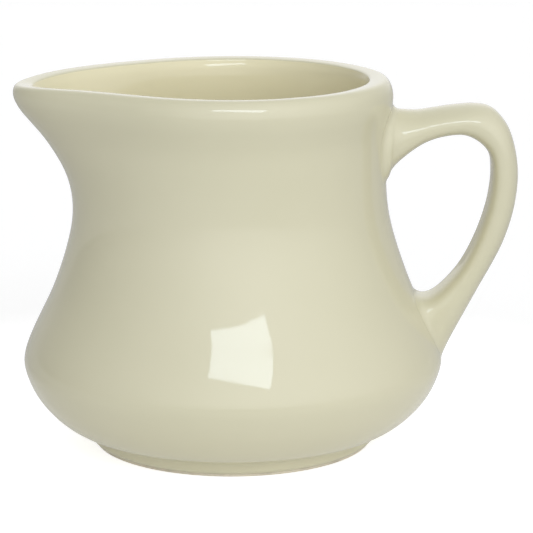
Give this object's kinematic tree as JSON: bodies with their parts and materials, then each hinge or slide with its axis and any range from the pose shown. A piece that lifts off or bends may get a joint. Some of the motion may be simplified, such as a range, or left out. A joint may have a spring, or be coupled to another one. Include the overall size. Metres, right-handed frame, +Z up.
{
  "type": "cream jug",
  "caption": "Bell-shaped glazed porcelain cream jug with a rolled rim, a pulled pouring lip, a loop handle and a bare standing ring.",
  "frame": {"origin": "centre of the standing ring, on the surface that the jug stands on", "axes": "+Z up; the pouring lip points along -X and the handle along +X; the jug is the same on both sides of the XZ plane"},
  "size_m": [0.1108, 0.093, 0.0815],
  "materials": {
    "cream_glaze": "clear gloss glaze over a cream porcelain body",
    "bare_clay": "unglazed, ground flat, matte"
  },
  "bodies": {
    "root": {"body": "cream_glaze", "standing_ring": "bare_clay", "handle": "cream_glaze", "upper_slip_joint": "cream_glaze", "lower_slip_joint": "cream_glaze"}
  },
  "joints": []
}
